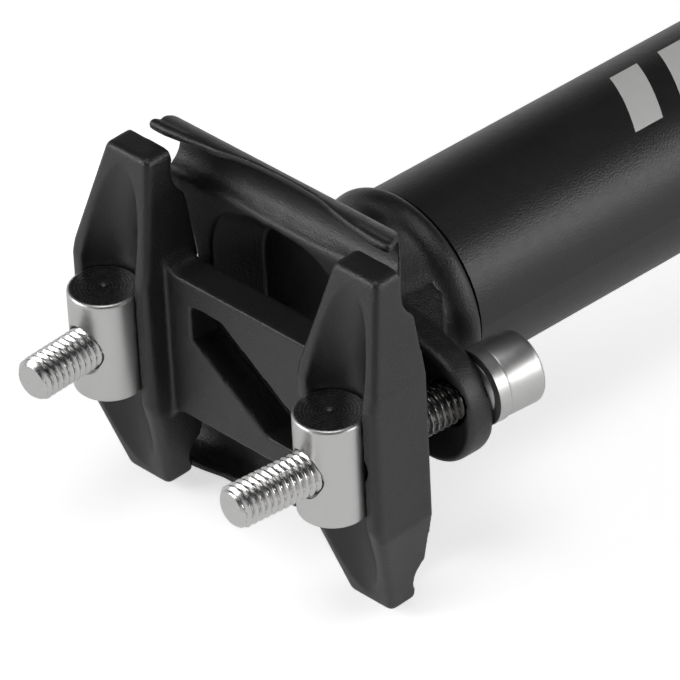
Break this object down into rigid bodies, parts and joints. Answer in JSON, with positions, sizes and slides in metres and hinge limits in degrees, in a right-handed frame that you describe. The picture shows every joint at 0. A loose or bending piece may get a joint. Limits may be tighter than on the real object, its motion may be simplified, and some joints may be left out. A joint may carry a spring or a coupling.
{
  "type": "bicycle seatpost",
  "caption": "Straight round seatpost with a forged head, a tilting rail cradle and an upper clamp drawn down by socket bolts and barrel nuts.",
  "frame": {"origin": "centre of the tube's lower end, on the tube's axis", "axes": "+X up the tube toward the saddle clamp, +Y toward the front of the bicycle and along the saddle rails when the clamp is level, +Z sideways across the rails, up as the part lies"},
  "size_m": [0.3776, 0.0562, 0.0534],
  "materials": {
    "tube_black": "blasted and black anodised, fine grain, satin",
    "head_black": "forged, blasted and black anodised, satin",
    "cradle_black": "forged and black anodised, satin",
    "clamp_black": "forged and black anodised, satin",
    "nut_steel": "turned, bright",
    "bolt_steel": "polished",
    "washer_steel": "polished"
  },
  "bodies": {
    "post": {"post_tube": "tube_black", "head": "head_black"},
    "saddle_clamp": {"lower_cradle": "cradle_black", "upper_clamp": "clamp_black"},
    "front_nut": {"front_barrel_nut": "nut_steel"},
    "rear_nut": {"rear_barrel_nut": "nut_steel"},
    "front_bolt": {"front_bolt": "bolt_steel", "front_washer": "washer_steel"},
    "rear_bolt": {"rear_bolt": "bolt_steel", "rear_washer": "washer_steel"}
  },
  "joints": [
    {"name": "saddle_tilt", "type": "hinge", "parent": "post", "child": "saddle_clamp", "pos_m": [0.3575, 0, 0], "axis": [0, 0, 1], "range_deg": [-9, 3]},
    {"name": "front_bolt_swivel", "type": "hinge", "parent": "post", "child": "front_bolt", "pos_m": [0.3321, 0.02295, 0], "axis": [0, 0, 1], "range_deg": [-1, 0.34]},
    {"name": "rear_bolt_swivel", "type": "hinge", "parent": "post", "child": "rear_bolt", "pos_m": [0.3321, -0.02295, 0], "axis": [0, 0, 1], "range_deg": [-1, 0.34]},
    {"name": "front_nut_turn", "type": "hinge", "parent": "saddle_clamp", "child": "front_nut", "pos_m": [0.36142, 0.02083, 0], "axis": [0, 0, 1], "range_deg": [-2.68, 8.02]},
    {"name": "rear_nut_turn", "type": "hinge", "parent": "saddle_clamp", "child": "rear_nut", "pos_m": [0.36357, -0.02031, 0], "axis": [0, 0, 1], "range_deg": [-2.68, 8.02]}
  ],
  "couplings": [
    {"joint": "front_bolt_swivel", "follows": "saddle_tilt", "ratio": 0.11},
    {"joint": "rear_bolt_swivel", "follows": "saddle_tilt", "ratio": 0.11},
    {"joint": "front_nut_turn", "follows": "saddle_tilt", "ratio": -0.89},
    {"joint": "rear_nut_turn", "follows": "saddle_tilt", "ratio": -0.89}
  ]
}
